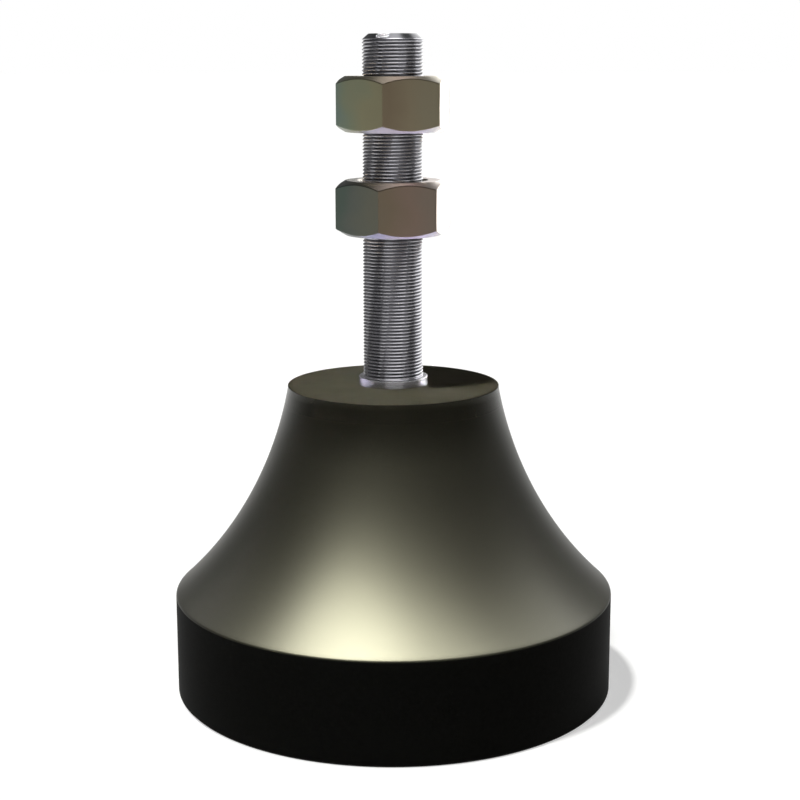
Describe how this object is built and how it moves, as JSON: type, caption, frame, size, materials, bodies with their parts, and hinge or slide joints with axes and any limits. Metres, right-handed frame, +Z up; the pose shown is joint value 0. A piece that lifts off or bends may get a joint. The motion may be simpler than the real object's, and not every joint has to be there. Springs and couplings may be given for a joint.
{
  "type": "rubber anti-vibration mount",
  "caption": "Moulded rubber bell with a bonded threaded stud and a pair of hex nuts that clamp a machine's foot; isolates vibration and sets height.",
  "frame": {"origin": "centre of the flat sole, on the surface that the mount stands on", "axes": "+Z up along the stud, -Y towards the front, +X to the right"},
  "size_m": [0.0746, 0.0746, 0.1103],
  "materials": {
    "moulded_rubber": "smooth moulded, low sheen",
    "bonded_steel": "grit blasted and primed",
    "plated_stud_steel": "bright zinc plated",
    "plated_nut_steel": "satin yellow-grey passivated zinc"
  },
  "bodies": {
    "bell": {"rubber_bell": "moulded_rubber"},
    "stud": {"levelling_stud": "plated_stud_steel", "anchor_plate": "bonded_steel"},
    "lower_nut": {"lower_nut": "plated_nut_steel"},
    "upper_nut": {"upper_nut": "plated_nut_steel"}
  },
  "joints": [
    {"name": "stud_sink", "type": "slide", "parent": "bell", "child": "stud", "axis": [0, 0, -1], "range_m": [0, 0.003], "stiffness_N_per_m": 500000, "deforming": ["rubber_bell"]},
    {"name": "lower_nut_travel", "type": "slide", "parent": "stud", "child": "lower_nut", "axis": [0, 0, 1], "range_m": [-0.0236, 0.0038]},
    {"name": "upper_nut_travel", "type": "slide", "parent": "stud", "child": "upper_nut", "axis": [0, 0, 1], "range_m": [-0.0038, 0.0067]}
  ]
}
